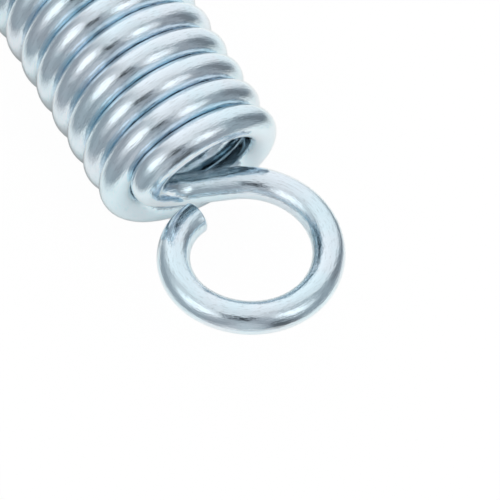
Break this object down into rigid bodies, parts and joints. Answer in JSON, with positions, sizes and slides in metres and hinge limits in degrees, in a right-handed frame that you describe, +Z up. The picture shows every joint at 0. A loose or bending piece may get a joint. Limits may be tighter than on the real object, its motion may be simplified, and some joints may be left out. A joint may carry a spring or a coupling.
{
  "type": "extension spring",
  "caption": "Close-wound tension spring of round zinc-plated steel wire, with a crossed-over full loop at each end for a hook or post; it pulls its two loops together.",
  "frame": {"origin": "bottom centre of the bounding box, midway between the two loops, straight below the body's axis, where the coils touch the surface it lies on", "axes": "+X along the body's axis towards one loop (the other loop is the same wire form turned half a turn about Z), +Z up"},
  "size_m": [0.12, 0.024, 0.023],
  "materials": {
    "wire": "bright zinc plate with a pale blue passivate, drawn smooth and glossy"
  },
  "bodies": {
    "root": {"spring": "wire"}
  },
  "joints": []
}
